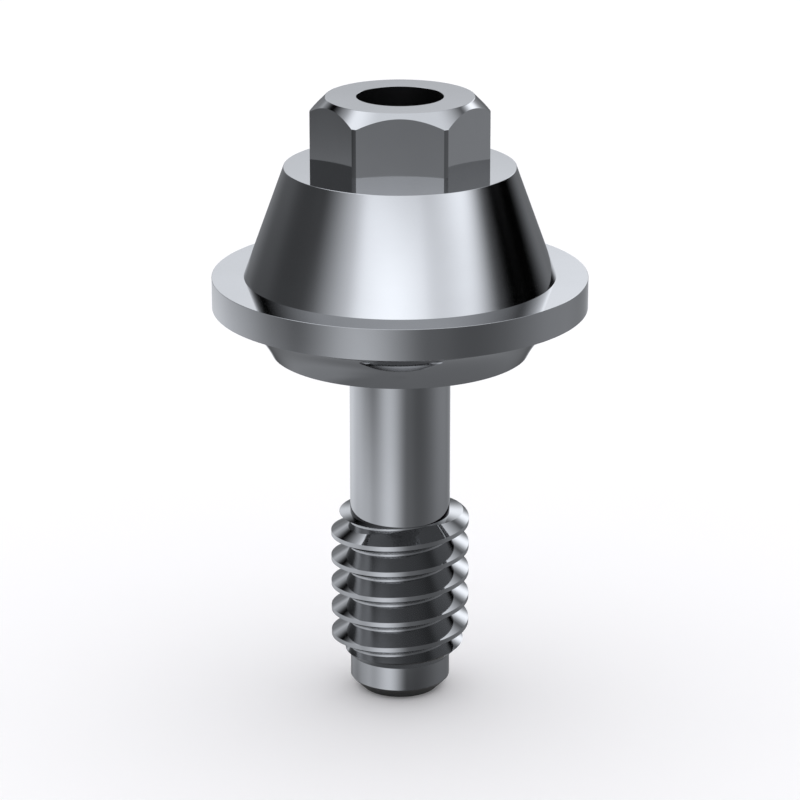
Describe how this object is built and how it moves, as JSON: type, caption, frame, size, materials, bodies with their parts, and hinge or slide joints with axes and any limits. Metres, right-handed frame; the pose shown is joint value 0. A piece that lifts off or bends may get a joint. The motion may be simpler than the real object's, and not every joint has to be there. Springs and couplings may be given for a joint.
{
  "type": "dental abutment",
  "caption": "Straight dental abutment: a thin round platform carries a cone with a hex drive and a blind screw hole on top, and a collar, shank and threaded screw below.",
  "frame": {"origin": "centre of the implant seat, the flat ring under the collar, on the axis", "axes": "+Z along the axis towards the hex, -Z down the screw; a flat of the hex faces -Y"},
  "size_m": [0.0048, 0.0048, 0.0079],
  "materials": {
    "titanium": "polished, finely turned titanium alloy"
  },
  "bodies": {
    "root": {"abutment": "titanium"}
  },
  "joints": []
}
